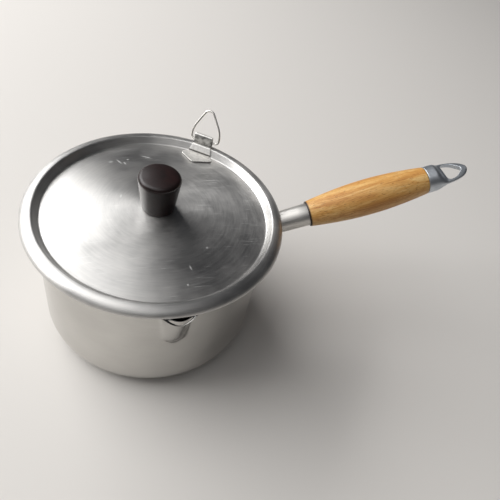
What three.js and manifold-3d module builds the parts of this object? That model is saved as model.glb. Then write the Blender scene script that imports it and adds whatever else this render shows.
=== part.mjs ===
// A lidded saucepan: a drawn steel pan with a pouring lip, a recessed lid with a moulded knob and a
// wire hanging ring, and a turned wooden handle held between a steel ferrule and an end cap.
// Millimetres, +Z up, +X along the handle. The origin is the centre of the pan's underside.

import * as THREE from "three";
import { mergeVertices } from "three/addons/utils/BufferGeometryUtils.js";
import Module from "manifold-3d";

const wasm = await Module();
wasm.setup();
const degrees = THREE.MathUtils.degToRad;

// Clearance between pieces that rest on, pass through or screw into each other
const FIT_GAP = 0.3;

// Pan: one drawn sheet with a flared rim
const PAN_INNER_RADIUS = 80;
const PAN_WALL = 1;
const PAN_HEIGHT = 108.6;
const PAN_CORNER_RADIUS = 21;
const RIM_OVERHANG = 7;
const RIM_SLOPE = degrees(25);
const RIM_FLARE_RADIUS = 7;

// Pouring lip, pressed out of the pan's wall on the user's left
const SPOUT_AZIMUTH = degrees(-88.7);
const SPOUT_REACH = 11.4;
const SPOUT_DROP = 8.5;
const SPOUT_LENGTH = 45;
const SPOUT_FOOT_WIDTH = 18;
const SPOUT_MOUTH_WIDTH = 30;
const SPOUT_SWELL = 0.75;
const SPOUT_EDGE_SOFTNESS = 1.5;

// Lid: recessed centre, crest and convex rim band
const LID_SHEET = 0.8;
const LID_OVERHANG = 3.1;
const LID_PLUG_CLEARANCE = 0.8;
const LID_RECESS_RUN = 3.5;
const LID_RECESS_DEPTH = 5.4;
const LID_CREST_WIDTH = 1.4;
const LID_BEND_RADIUS = 1.6;
const LID_BAND_HEIGHT = 4.9;
const LID_DOME_RISE = 6.5;

// Knob and what holds it
const KNOB_HEIGHT = 28.2;
const KNOB_BASE_RADIUS = 11.5;
const KNOB_TOP_RADIUS = 14.9;
const KNOB_CROWN = 1.8;
const KNOB_EDGE_RADIUS = 2.4;
const KNOB_FOOT_RADIUS = 0.8;
const KNOB_SEAT_MARGIN = 1;
const SCREW_RADIUS = 2;
const SCREW_HEAD_RADIUS = 3.8;
const SCREW_HEAD_HEIGHT = 2.4;
const SCREW_SLOT_WIDTH = 1;
const SCREW_SLOT_DEPTH = 1.1;
const SCREW_GRIP_LENGTH = 9;
const INSERT_LENGTH = 12;
const INSERT_WALL = 1.6;
const WASHER_RADIUS = 5;
const WASHER_THICKNESS = 0.8;

// Clip on the lid's rim, and the ring in its loop, which stands askew and leans outwards
const CLIP_AZIMUTH = degrees(57);
const CLIP_SHEET = 0.6;
const CLIP_TAB_WIDTH = 14.6;
const CLIP_TAB_OFFSET = 2.75;
const CLIP_LOOP_HEIGHT = 9.3;
const CLIP_BEND_RADIUS = 1.2;
const CLIP_CREASE_INSET = 0.6;
const CLIP_SHOULDER_INSET = 7.6;
const CLIP_SHOULDER_WIDTH = 26.4;
const CLIP_FOOT_LENGTH = 17;
const CLIP_FOOT_LIFT = 0.8;
const CLIP_CORNER_RADIUS = 2.2;
const RING_WIRE_RADIUS = 0.85;
const RING_BAR_RISE = 3.5;
const RING_WIDTH = 23.2;
const RING_HEIGHT = 24.2;
const RING_SHOULDER = 8.6;
const RING_CORNER_RADIUS = 3;
const RING_SIDE_RADIUS = 14;
const RING_APEX_RADIUS = 4.3;
const RING_JOINT_GAP = 0.6;
const RING_SLIDE = 0.9;
const RING_ROLL = degrees(5);
const RING_LEAN = degrees(24);

// Handle: its axis leaves the pan's wall at this drop below the rim and rises at this tilt
const HANDLE_DROP = 24.6;
const HANDLE_TILT = degrees(19);
const BRACKET_THICKNESS = 2;
const BRACKET_WIDTH = 26;
const BRACKET_LENGTH = 30;
const BRACKET_CORNER_RADIUS = 5;
const BOSS_RADIUS = 5.6;
const BOSS_LENGTH = 16;
const BOSS_FLOOR = 4;
const ROD_RADIUS = 3;
const FERRULE_LENGTH = 38.5;
const FERRULE_ROOT_RADIUS = 7.9;
const FERRULE_END_RADIUS = 8.95;
const FERRULE_WALL = 1;
const GRIP_LENGTH = 97.5;
const GRIP_START_RADIUS = 9.9;
const GRIP_MIDDLE_RADIUS = 14.2;
const GRIP_END_RADIUS = 10.7;
const GRIP_EDGE_RADIUS = 0.8;
const GRIP_FULLNESS = 0.9;
const TENON_LENGTH = 12;
const CAP_LENGTH = 35.6;
const CAP_COLLAR = 7;
const CAP_SOCKET_DEPTH = 8;
const CAP_EYE_START = 16;
const CAP_EYE_BAR = 1.8;
const CAP_EYE_NOSE = 3.6;
const CAP_EYE_RADIUS = 2.2;
const CAP_EYE_THICKNESS = 5;
const CAP_NOSE_THICKNESS = 3.4;
const CAP_NOSE_RISE = 0.9;
const CAP_NOSE_TAPER = 2.8;
const CAP_NOSE_SQUARENESS = 3;

// Facets
const ARC_STEP = degrees(22.5);
const PAN_SIDES = 56;
const LID_SIDES = 48;
const KNOB_SIDES = 32;
const HANDLE_SIDES = 28;
const ROD_SIDES = 16;
const WIRE_SIDES = 8;
const WIRE_STEPS = 48;
const SPOUT_CROWDING = 0.6;
const SPOUT_LEVELS = [0, 0.08, 0.2, 0.4, 0.6];
const GRIP_STATIONS = [0.08, 0.18, 0.28, 0.4, 0.52, 0.64, 0.76, 0.86, 0.94];
const CAP_STATIONS = [0, 0.12, 0.2, 0.28, 0.36, 0.44, 0.52, 0.62, 0.72, 0.82, 0.9, 0.96, 0.99];
const DOME_STATIONS = [0.86, 0.7, 0.52, 0.34];
const CROWN_STATIONS = [0.7, 0.4];

const STEEL = { color: 0xc9cac8, roughness: 0.3, metalness: 1 };
const BRASS = { color: 0xb5924c, roughness: 0.35, metalness: 1 };
const WOOD = { color: 0xc08a45, roughness: 0.55, metalness: 0 };
const PHENOLIC = { color: 0x2c1512, roughness: 0.35, metalness: 0 };

// A polyline through corners written [x, y, radius], each rounded to its radius.
function rounded(corners) {
  const points = [];
  corners.forEach(([x, y, radius = 0], i) => {
    const corner = new THREE.Vector2(x, y);
    if (!radius) {
      points.push(corner);
      return;
    }
    const [beforeX, beforeY] = corners[i - 1];
    const [afterX, afterY] = corners[i + 1];
    const back = new THREE.Vector2(beforeX - x, beforeY - y).normalize();
    const onward = new THREE.Vector2(afterX - x, afterY - y).normalize();
    const half = back.angleTo(onward) / 2;
    const turn = (Math.PI - 2 * half) * Math.sign(onward.cross(back));
    const inward = back.clone().add(onward).normalize();
    const centre = corner.clone().addScaledVector(inward, radius / Math.sin(half));
    const start = corner.clone().addScaledVector(back, radius / Math.tan(half));
    const steps = Math.max(2, Math.ceil(Math.abs(turn) / ARC_STEP));
    for (let step = 0; step <= steps; step++) {
      points.push(start.clone().rotateAround(centre, (turn * step) / steps));
    }
  });
  return points;
}

// Points on an ellipse about a centre, from one angle to another.
function arc(centreX, centreY, radiusX, radiusY, from, to, step = ARC_STEP) {
  const steps = Math.max(2, Math.ceil(Math.abs(to - from) / step));
  return Array.from({ length: steps + 1 }, (_, i) => {
    const angle = from + ((to - from) * i) / steps;
    return new THREE.Vector2(centreX + radiusX * Math.cos(angle), centreY + radiusY * Math.sin(angle));
  });
}

// The parallel of a path at a distance to its left.
function parallel(path, distance) {
  const normals = path.slice(1).map((point, i) => {
    const along = point.clone().sub(path[i]).normalize();
    return new THREE.Vector2(-along.y, along.x);
  });
  return path.map((point, i) => {
    const before = normals[Math.max(i - 1, 0)];
    const after = normals[Math.min(i, normals.length - 1)];
    const mitre = before.clone().add(after).normalize();
    return point.clone().addScaledVector(mitre, distance / mitre.dot(before));
  });
}

// The outline of a sheet that lies on the left of a path.
function sheetOutline(path, thickness) {
  return [...path, ...parallel(path, thickness).reverse()];
}

// A solid turned about Z from an outline of (radius, height) that runs counter-clockwise.
function turned(outline, sides) {
  return new THREE.LatheGeometry(outline, sides).rotateX(Math.PI / 2);
}

// A solid turned about X from an outline of (radius, distance along X).
function turnedAlongX(outline, sides) {
  return new THREE.LatheGeometry(outline, sides).rotateZ(-Math.PI / 2);
}

function closed(outline) {
  return [...outline, outline[0]];
}

function asSolid(geometry) {
  const bare = geometry.clone();
  bare.deleteAttribute("normal");
  bare.deleteAttribute("uv");
  const merged = mergeVertices(bare, 1e-4);
  const vertProperties = new Float32Array(merged.attributes.position.array);
  const triVerts = new Uint32Array(merged.index.array);
  return new wasm.Manifold(new wasm.Mesh({ numProp: 3, vertProperties, triVerts }));
}

function asGeometry(solid) {
  const { vertProperties, triVerts } = solid.getMesh();
  const geometry = new THREE.BufferGeometry();
  geometry.setAttribute("position", new THREE.BufferAttribute(vertProperties, 3));
  geometry.setIndex(new THREE.BufferAttribute(triVerts, 1));
  return geometry;
}

function piece(name, geometry, finish) {
  geometry.computeVertexNormals();
  const mesh = new THREE.Mesh(geometry, new THREE.MeshStandardMaterial(finish));
  mesh.name = name;
  return mesh;
}

// Pan
const panOuterRadius = PAN_INNER_RADIUS + PAN_WALL;
const rimEdgeRadius = PAN_INNER_RADIUS + RIM_OVERHANG;

// Pushes the wall out into a lip on the side that faces -Y, and bends the rim down there.
function pressSpout(geometry) {
  const footHalf = SPOUT_FOOT_WIDTH / 2;
  const mouthHalf = SPOUT_MOUTH_WIDTH / 2;
  const place = geometry.attributes.position;
  for (let i = 0; i < place.count; i++) {
    const radius = Math.hypot(place.getX(i), place.getY(i));
    const evenAngle = Math.atan2(place.getX(i), -place.getY(i));
    // Facets crowd towards the lip, where the wall bends most.
    const angle = evenAngle - SPOUT_CROWDING * Math.sin(evenAngle);
    const above = Math.max(0, place.getZ(i) - (PAN_HEIGHT - SPOUT_LENGTH));
    const rise = above / SPOUT_LENGTH;
    const roundEnd = Math.sqrt(1 - (1 - Math.min(1, above / footHalf)) ** 2);
    const half = footHalf * roundEnd + (mouthHalf - footHalf) * rise ** 2;
    const across = panOuterRadius * angle;
    const share = Math.abs(across) < half ? (1 - (across / half) ** 2) ** SPOUT_EDGE_SOFTNESS : 0;
    const flare = THREE.MathUtils.clamp((radius - panOuterRadius) / (rimEdgeRadius - panOuterRadius), 0, 1);
    const wallReach = SPOUT_REACH * rise ** SPOUT_SWELL;
    const out = radius + share * THREE.MathUtils.lerp(wallReach, SPOUT_REACH - RIM_OVERHANG, flare);
    const height = place.getZ(i) - share * flare * SPOUT_DROP;
    place.setXYZ(i, out * Math.sin(angle), -out * Math.cos(angle), height);
  }
  return geometry;
}

// The pan's outside, from the middle of its bottom up the wall and out along the flared rim.
function panOutside() {
  const flareFoot = PAN_HEIGHT - PAN_WALL * Math.cos(RIM_SLOPE) - RIM_OVERHANG * Math.tan(RIM_SLOPE);
  const spoutFoot = PAN_HEIGHT - SPOUT_LENGTH;
  const levels = SPOUT_LEVELS.map((share) => [panOuterRadius, spoutFoot + share * SPOUT_LENGTH]);
  const edgeOut = rimEdgeRadius + PAN_WALL * Math.sin(RIM_SLOPE);
  const edgeUp = flareFoot + (edgeOut - panOuterRadius) * Math.tan(RIM_SLOPE);
  return rounded([
    [0, 0],
    [panOuterRadius, 0, PAN_CORNER_RADIUS],
    ...levels,
    [panOuterRadius, flareFoot, RIM_FLARE_RADIUS],
    [edgeOut, edgeUp],
  ]);
}

function panBody() {
  const pressed = pressSpout(turned(sheetOutline(panOutside(), PAN_WALL), PAN_SIDES));
  return pressed.rotateZ(SPOUT_AZIMUTH + Math.PI / 2);
}

// Handle, in a frame whose X axis is the handle's own axis, starting at the pan's wall
const handleHeight = PAN_HEIGHT - HANDLE_DROP;
const handle = new THREE.Group();
handle.position.set(panOuterRadius, 0, handleHeight);
handle.rotation.y = -HANDLE_TILT;
handle.updateMatrix();

const saddleRadius = panOuterRadius + FIT_GAP + BRACKET_THICKNESS;
const rodBoreRadius = ROD_RADIUS + FIT_GAP;
const gripStart = FERRULE_LENGTH + FIT_GAP;
const gripEnd = gripStart + GRIP_LENGTH;
const capStart = gripEnd + FIT_GAP;

// A solid rod on the handle's axis, in the handle's frame.
function axisRod(radius, from, to, sides) {
  const outline = [[0, from], [radius, from], [radius, to], [0, to]];
  return turnedAlongX(outline.map(([r, x]) => new THREE.Vector2(r, x)), sides);
}

// A solid drum about the pan's axis, tall enough to pass the whole handle.
function panDrum(radius) {
  const outline = [[0, 0], [radius, 0], [radius, 2 * PAN_HEIGHT], [0, 2 * PAN_HEIGHT]];
  return turned(outline.map(([r, z]) => new THREE.Vector2(r, z)), 2 * PAN_SIDES);
}

// The pan with a gap round its wall and flare, and all the space above it.
function panClearance() {
  const outside = parallel(panOutside(), -FIT_GAP);
  const edge = outside[outside.length - 1].x;
  const top = [[edge, 2 * PAN_HEIGHT], [0, 2 * PAN_HEIGHT]];
  return turned([...outside, ...top.map(([r, z]) => new THREE.Vector2(r, z))], 2 * PAN_SIDES);
}

function roundedRectangle(width, height, radius) {
  const [w, h] = [width / 2, height / 2];
  return new THREE.Shape(
    rounded([[0, -h], [w, -h, radius], [w, h, radius], [-w, h, radius], [-w, -h, radius], [0, -h]]),
  );
}

// The saddle follows the pan's wall and stays below the flare. Its boss points along the handle and
// takes the rod.
function handleBracket() {
  const outline = roundedRectangle(BRACKET_WIDTH, BRACKET_LENGTH, BRACKET_CORNER_RADIUS);
  const block = new THREE.ExtrudeGeometry(outline, { depth: 2 * saddleRadius, bevelEnabled: false });
  block.rotateX(Math.PI / 2).rotateZ(Math.PI / 2).translate(0, 0, handleHeight);
  const plate = asSolid(block).intersect(asSolid(panDrum(saddleRadius)));
  const boss = axisRod(BOSS_RADIUS, -BOSS_RADIUS, BOSS_LENGTH, HANDLE_SIDES);
  const bore = axisRod(rodBoreRadius, BOSS_FLOOR, BOSS_LENGTH + FIT_GAP, ROD_SIDES);
  boss.applyMatrix4(handle.matrix);
  bore.applyMatrix4(handle.matrix);
  return asGeometry(plate.add(asSolid(boss)).subtract(asSolid(panClearance())).subtract(asSolid(bore)));
}

function tieRod() {
  return axisRod(ROD_RADIUS, BOSS_FLOOR + FIT_GAP, capStart + CAP_SOCKET_DEPTH - FIT_GAP, ROD_SIDES);
}

function ferruleRadius(along) {
  return THREE.MathUtils.lerp(FERRULE_ROOT_RADIUS, FERRULE_END_RADIUS, along / FERRULE_LENGTH);
}

// A tapered tube whose root is cut to the saddle's curve.
function ferrule() {
  const root = -FERRULE_ROOT_RADIUS;
  const path = [
    new THREE.Vector2(ferruleRadius(root), root),
    new THREE.Vector2(FERRULE_END_RADIUS, FERRULE_LENGTH),
  ];
  const tube = turnedAlongX(closed(sheetOutline(path, FERRULE_WALL)), HANDLE_SIDES);
  const saddle = panDrum(saddleRadius + FIT_GAP).applyMatrix4(handle.matrix.clone().invert());
  return asGeometry(asSolid(tube).subtract(asSolid(saddle)));
}

// The barrel's radius along the grip: half a wave of swell on a straight taper.
function gripRadius(share) {
  const taper = THREE.MathUtils.lerp(GRIP_START_RADIUS, GRIP_END_RADIUS, share);
  const swell = GRIP_MIDDLE_RADIUS - (GRIP_START_RADIUS + GRIP_END_RADIUS) / 2;
  return taper + swell * Math.sin(Math.PI * share) ** GRIP_FULLNESS;
}

// A barrel with a tenon in the ferrule and a bore for the rod.
function woodenGrip() {
  const tenonRadius = ferruleRadius(FERRULE_LENGTH - TENON_LENGTH) - FERRULE_WALL - FIT_GAP;
  const tenonStart = gripStart - TENON_LENGTH;
  const barrel = GRIP_STATIONS.map((share) => [
    gripRadius(share),
    gripStart + share * GRIP_LENGTH,
  ]);
  const outline = rounded([
    [rodBoreRadius, tenonStart],
    [tenonRadius, tenonStart],
    [tenonRadius, gripStart],
    [GRIP_START_RADIUS, gripStart, GRIP_EDGE_RADIUS],
    ...barrel,
    [GRIP_END_RADIUS, gripEnd],
    [rodBoreRadius, gripEnd],
  ]);
  return turnedAlongX(closed(outline), HANDLE_SIDES);
}

// Half the cap's width at a distance from the wood: a collar, then the long side of an ellipse.
function capHalfWidth(along) {
  const share = Math.max(0, (along - CAP_COLLAR) / (CAP_LENGTH - CAP_COLLAR));
  return GRIP_END_RADIUS * Math.sqrt(Math.max(0, 1 - share ** CAP_NOSE_TAPER));
}

// Half the cap's thickness there, on its way from the round collar to the flat eye and nose.
function capHalfThickness(along, flat) {
  const towardsNose = THREE.MathUtils.clamp((along - CAP_EYE_START) / (CAP_LENGTH - CAP_EYE_START), 0, 1);
  const flatThickness = THREE.MathUtils.lerp(CAP_EYE_THICKNESS, CAP_NOSE_THICKNESS, towardsNose);
  return Math.min(capHalfWidth(along), THREE.MathUtils.lerp(GRIP_END_RADIUS, flatThickness / 2, flat));
}

// A round collar that flattens into a nose, with a pear-shaped eye through the nose.
function endCap() {
  const outline = [
    [0, 0],
    ...CAP_STATIONS.map((share) => [1, share * CAP_LENGTH]),
    [0, CAP_LENGTH],
  ].map(([r, x]) => new THREE.Vector2(r, x));
  const body = turnedAlongX(outline, HANDLE_SIDES);
  const place = body.attributes.position;
  for (let i = 0; i < place.count; i++) {
    const [along, up, aside] = [place.getX(i), place.getY(i), place.getZ(i)];
    const flat = THREE.MathUtils.smoothstep(along, CAP_COLLAR, CAP_EYE_START);
    // The section squares up from a circle to a bar with round edges.
    const power = THREE.MathUtils.lerp(2, CAP_NOSE_SQUARENESS, flat);
    const fill = (Math.abs(up) ** power + Math.abs(aside) ** power || 1) ** (-1 / power);
    const height = up * fill * capHalfThickness(along, flat) + flat * CAP_NOSE_RISE;
    place.setXYZ(i, along, height, aside * fill * capHalfWidth(along));
  }
  body.rotateX(Math.PI / 2).translate(capStart, 0, 0);
  const eyeEnd = CAP_LENGTH - CAP_EYE_NOSE;
  const eyeHalf = capHalfWidth(CAP_EYE_START) - CAP_EYE_BAR;
  const middle = (CAP_EYE_START + eyeEnd) / 2;
  const middleHalf = capHalfWidth(middle) - CAP_EYE_BAR;
  const eyeOutline = new THREE.Shape(
    rounded([
      [CAP_EYE_START, 0],
      [CAP_EYE_START, -eyeHalf, CAP_EYE_RADIUS],
      [middle, -middleHalf],
      [eyeEnd, 0, CAP_EYE_RADIUS],
      [middle, middleHalf],
      [CAP_EYE_START, eyeHalf, CAP_EYE_RADIUS],
      [CAP_EYE_START, 0],
    ]),
  );
  const eye = new THREE.ExtrudeGeometry(eyeOutline, { depth: 2 * GRIP_END_RADIUS, bevelEnabled: false });
  eye.translate(capStart, 0, -GRIP_END_RADIUS);
  const socket = axisRod(rodBoreRadius, gripEnd, capStart + CAP_SOCKET_DEPTH, ROD_SIDES);
  return asGeometry(asSolid(body).subtract(asSolid(eye)).subtract(asSolid(socket)));
}

// Lid, in a frame whose Z is 0 at the lower edge of its rim band
const lidFootRadius = PAN_INNER_RADIUS - LID_PLUG_CLEARANCE - LID_SHEET;
const lidMouthRadius = lidFootRadius + LID_RECESS_RUN;
const lidCrestRadius = lidMouthRadius + LID_CREST_WIDTH;
const lidRadius = rimEdgeRadius + LID_OVERHANG;
const lidFootHeight = LID_BAND_HEIGHT - LID_RECESS_DEPTH;
const knobSeatRadius = KNOB_BASE_RADIUS + KNOB_SEAT_MARGIN;
const screwHoleRadius = SCREW_RADIUS + FIT_GAP;

function domeHeight(radius) {
  return lidFootHeight + LID_DOME_RISE * (1 - (radius / lidFootRadius) ** 2);
}

const knobSeatHeight = domeHeight(knobSeatRadius);

// The lid's upper side, from its outer edge over the crest and across the dome to the screw hole.
const lidUpperSide = [
  ...arc(lidCrestRadius, 0, lidRadius - lidCrestRadius, LID_BAND_HEIGHT, 0, Math.PI / 2),
  ...rounded([
    [lidCrestRadius, LID_BAND_HEIGHT],
    [lidMouthRadius, LID_BAND_HEIGHT, LID_BEND_RADIUS],
    [lidFootRadius, lidFootHeight, LID_BEND_RADIUS],
    ...DOME_STATIONS.map((share) => [share * lidFootRadius, domeHeight(share * lidFootRadius)]),
    [knobSeatRadius, knobSeatHeight],
    [screwHoleRadius, knobSeatHeight],
  ]).slice(1),
];

// The height of a path where it crosses a radius, for a path that runs inwards.
function heightAt(path, radius) {
  const i = path.findIndex((point) => point.x <= radius);
  const [outer, inner] = [path[i - 1], path[i]];
  return THREE.MathUtils.mapLinear(radius, outer.x, inner.x, outer.y, inner.y);
}

const lid = new THREE.Group();
lid.position.z = PAN_HEIGHT + FIT_GAP - heightAt(parallel(lidUpperSide, LID_SHEET), rimEdgeRadius);

function lidShell() {
  return turned(closed(sheetOutline(lidUpperSide, LID_SHEET)), LID_SIDES);
}

const insertBore = SCREW_RADIUS + FIT_GAP;
const insertRadius = insertBore + INSERT_WALL;
const knobBottom = knobSeatHeight + FIT_GAP;

// A cone, wider at the top, with a low crown and a blind socket for its insert.
function knob() {
  const socketRadius = insertRadius + FIT_GAP;
  const socketTop = INSERT_LENGTH + FIT_GAP;
  const crownFoot = KNOB_HEIGHT - KNOB_CROWN;
  const crown = CROWN_STATIONS.map((share) => [
    share * KNOB_TOP_RADIUS,
    KNOB_HEIGHT - KNOB_CROWN * share ** 2,
  ]);
  const outline = rounded([
    [0, socketTop],
    [socketRadius, socketTop],
    [socketRadius, 0],
    [KNOB_BASE_RADIUS, 0, KNOB_FOOT_RADIUS],
    [KNOB_TOP_RADIUS, crownFoot, KNOB_EDGE_RADIUS],
    ...crown,
    [0, KNOB_HEIGHT],
  ]);
  return turned(outline, KNOB_SIDES).translate(0, 0, knobBottom);
}

function ring(innerRadius, outerRadius, from, to) {
  const outline = [[innerRadius, from], [outerRadius, from], [outerRadius, to], [innerRadius, to]];
  return turned(closed(outline.map(([r, z]) => new THREE.Vector2(r, z))), ROD_SIDES);
}

function knobInsert() {
  return ring(insertBore, insertRadius, knobBottom, knobBottom + INSERT_LENGTH);
}

const washerTop = knobSeatHeight - LID_SHEET - FIT_GAP;
const washerBottom = washerTop - WASHER_THICKNESS;

function knobWasher() {
  return ring(screwHoleRadius, WASHER_RADIUS, washerBottom, washerTop);
}

function knobScrew() {
  const headTop = washerBottom - FIT_GAP;
  const headBottom = headTop - SCREW_HEAD_HEIGHT;
  const outline = rounded([
    [0, headBottom],
    [SCREW_HEAD_RADIUS, headBottom, SCREW_HEAD_HEIGHT / 2],
    [SCREW_HEAD_RADIUS, headTop],
    [SCREW_RADIUS, headTop],
    [SCREW_RADIUS, knobBottom + SCREW_GRIP_LENGTH],
    [0, knobBottom + SCREW_GRIP_LENGTH],
  ]);
  const slot = new THREE.BoxGeometry(3 * SCREW_HEAD_RADIUS, SCREW_SLOT_WIDTH, 2 * SCREW_SLOT_DEPTH);
  slot.translate(0, 0, headBottom);
  return asGeometry(asSolid(turned(outline, ROD_SIDES)).subtract(asSolid(slot)));
}

// Clip and ring, in a frame whose X points out of the lid's centre through the clip
const curlRadius = RING_WIRE_RADIUS + FIT_GAP + CLIP_SHEET;
const clipTabRadius = lidCrestRadius + CLIP_TAB_OFFSET;
const ringBarRadius = clipTabRadius - curlRadius;
const ringBarHeight = LID_BAND_HEIGHT + RING_BAR_RISE;

// A strip bent to the lid's section, trimmed to its plan: arrowhead foot, neck and a flat loop that
// goes up on the outside, folds inwards and comes down to a free end above the neck.
function lidClip() {
  const creaseRadius = lidFootRadius - CLIP_CREASE_INSET;
  const footTip = lidFootRadius - CLIP_FOOT_LENGTH;
  const over = LID_BAND_HEIGHT + FIT_GAP;
  const foldHeight = LID_BAND_HEIGHT + CLIP_LOOP_HEIGHT - curlRadius;
  const section = [
    ...rounded([
      [footTip - 1, domeHeight(footTip) + FIT_GAP + CLIP_FOOT_LIFT],
      [creaseRadius, domeHeight(creaseRadius) + FIT_GAP],
      [lidMouthRadius - LID_BEND_RADIUS / 2, over],
      [clipTabRadius, over, CLIP_BEND_RADIUS],
      [clipTabRadius, foldHeight - FIT_GAP],
    ]),
    ...arc(ringBarRadius, foldHeight, curlRadius, curlRadius, 0, Math.PI),
    new THREE.Vector2(ringBarRadius - curlRadius, over + CLIP_SHEET + FIT_GAP),
  ];
  const strip = new THREE.ExtrudeGeometry(new THREE.Shape(sheetOutline(section, CLIP_SHEET)), {
    depth: CLIP_SHOULDER_WIDTH + 2,
    bevelEnabled: false,
  });
  strip.rotateX(Math.PI / 2).translate(0, CLIP_SHOULDER_WIDTH / 2 + 1, 0);
  const shoulderRadius = lidFootRadius - CLIP_SHOULDER_INSET;
  const [neck, shoulder] = [CLIP_TAB_WIDTH / 2, CLIP_SHOULDER_WIDTH / 2];
  const plan = new THREE.Shape(
    rounded([
      [clipTabRadius + 1, -neck],
      [clipTabRadius + 1, neck],
      [lidMouthRadius, neck, CLIP_CORNER_RADIUS],
      [shoulderRadius, shoulder, CLIP_CORNER_RADIUS],
      [footTip, 0, CLIP_CORNER_RADIUS],
      [shoulderRadius, -shoulder, CLIP_CORNER_RADIUS],
      [lidMouthRadius, -neck, CLIP_CORNER_RADIUS],
      [clipTabRadius + 1, -neck],
    ]),
  );
  const reach = LID_BAND_HEIGHT + LID_RECESS_DEPTH + CLIP_LOOP_HEIGHT;
  const trim = new THREE.ExtrudeGeometry(plan, { depth: 2 * reach, bevelEnabled: false });
  trim.translate(0, 0, -reach);
  return asGeometry(asSolid(strip).intersect(asSolid(trim)));
}

// A rounded wire triangle whose ends meet in the middle of its bar, inside the loop.
function hangingRing() {
  const half = RING_WIDTH / 2;
  const end = RING_JOINT_GAP / 2;
  // The upper sides are tangent to the round apex, and would cross at a peak above it.
  const below = RING_HEIGHT - RING_APEX_RADIUS - RING_SHOULDER;
  const slant = Math.atan2(half, below) - Math.asin(RING_APEX_RADIUS / Math.hypot(half, below));
  const peak = RING_SHOULDER + half / Math.tan(slant);
  const route = rounded([
    [end, 0],
    [half, 0, RING_CORNER_RADIUS],
    [half, RING_SHOULDER, RING_SIDE_RADIUS],
    [0, peak, RING_APEX_RADIUS],
    [-half, RING_SHOULDER, RING_SIDE_RADIUS],
    [-half, 0, RING_CORNER_RADIUS],
    [-end, 0],
  ]);
  const path = new THREE.CatmullRomCurve3(route.map((point) => new THREE.Vector3(0, point.x, point.y)));
  const side = (2 * Math.PI) / WIRE_SIDES;
  const wire = new THREE.Shape(
    arc(0, 0, RING_WIRE_RADIUS, RING_WIRE_RADIUS, 0, 2 * Math.PI - side, side),
  );
  return new THREE.ExtrudeGeometry(wire, { steps: WIRE_STEPS, extrudePath: path });
}

handle.add(piece("tie_rod", tieRod(), STEEL));
handle.add(piece("ferrule", ferrule(), STEEL));
handle.add(piece("wooden_grip", woodenGrip(), WOOD));
handle.add(piece("end_cap", endCap(), STEEL));

const rimFittings = new THREE.Group();
rimFittings.rotation.z = CLIP_AZIMUTH;
rimFittings.add(piece("lid_clip", lidClip(), STEEL));
const hanging = piece("hanging_ring", hangingRing(), STEEL);
hanging.position.set(ringBarRadius, -RING_SLIDE, ringBarHeight);
hanging.rotation.set(-RING_ROLL, RING_LEAN, 0);
rimFittings.add(hanging);

lid.add(piece("lid", lidShell(), STEEL));
lid.add(piece("knob", knob(), PHENOLIC));
lid.add(piece("knob_insert", knobInsert(), BRASS));
lid.add(piece("knob_screw", knobScrew(), STEEL));
lid.add(piece("knob_washer", knobWasher(), STEEL));
lid.add(rimFittings);

const saucepan = new THREE.Group();
saucepan.add(piece("pan_body", panBody(), STEEL));
saucepan.add(piece("handle_bracket", handleBracket(), STEEL));
saucepan.add(handle);
saucepan.add(lid);

export default saucepan;
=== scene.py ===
from math import asin, atan2, ceil, copysign, cos, hypot, pi, radians, sin, sqrt, tan

import bpy
from mathutils import Matrix, Vector


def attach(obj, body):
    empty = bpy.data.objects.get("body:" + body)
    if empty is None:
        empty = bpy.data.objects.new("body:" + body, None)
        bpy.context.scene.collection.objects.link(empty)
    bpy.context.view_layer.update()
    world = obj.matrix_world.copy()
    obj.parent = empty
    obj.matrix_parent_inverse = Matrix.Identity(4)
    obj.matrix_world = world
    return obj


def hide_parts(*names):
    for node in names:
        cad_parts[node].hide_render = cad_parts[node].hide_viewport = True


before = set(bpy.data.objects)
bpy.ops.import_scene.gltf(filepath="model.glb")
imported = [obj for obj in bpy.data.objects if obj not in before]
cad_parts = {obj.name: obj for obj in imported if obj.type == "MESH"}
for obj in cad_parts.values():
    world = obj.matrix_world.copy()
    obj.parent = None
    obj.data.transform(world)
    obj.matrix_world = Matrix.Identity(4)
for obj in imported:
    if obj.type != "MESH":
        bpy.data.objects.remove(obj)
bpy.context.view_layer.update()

# Camera: it stands above the pouring lip's side of the pan and looks down on the lid. Its place and
# its lens, as long as the picture is wide, come from the ellipses of the lid.
MM = 0.001
camera_forward = Vector((0.3031, 0.6187, -0.7248))
camera_up = Vector((0.0654, 0.7453, 0.6635))
camera_place = Vector((-46.6, -254.0, 355.4))
camera_right = camera_forward.cross(camera_up).normalized()
camera_turn = Matrix((camera_right, camera_right.cross(camera_forward), -camera_forward)).transposed()
camera_lens = bpy.data.cameras.new("camera")
camera_lens.sensor_width = 36
camera_lens.lens = 36
camera = bpy.data.objects.new("camera", camera_lens)
camera.matrix_world = Matrix.Translation(camera_place * MM) @ camera_turn.to_4x4()
bpy.context.scene.collection.objects.link(camera)
bpy.context.scene.camera = camera
bpy.context.scene.view_settings.view_transform = "Standard"


# Pan: one sheet of stainless steel, deep-drawn into a pot with a large bottom radius. The rim is flared
# to carry the lid, a pouring lip is pressed out of the wall, and the outside is polished.
def rounded(corners, step=radians(7.5)):
    """Points along corners (x, y, radius), each corner turned to its radius."""
    points = []
    for i, (x, y, *radius) in enumerate(corners):
        corner = Vector((x, y))
        if not radius:
            points.append(corner)
            continue
        back = (Vector(corners[i - 1][:2]) - corner).normalized()
        onward = (Vector(corners[i + 1][:2]) - corner).normalized()
        half = back.angle(onward) / 2
        centre = corner + (back + onward).normalized() * radius[0] / sin(half)
        arm = corner + back * radius[0] / tan(half) - centre
        turn = copysign(pi - 2 * half, onward.x * back.y - onward.y * back.x)
        count = max(2, ceil(abs(turn) / step))
        points += [centre + Matrix.Rotation(turn * k / count, 2) @ arm for k in range(count + 1)]
    return points


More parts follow.
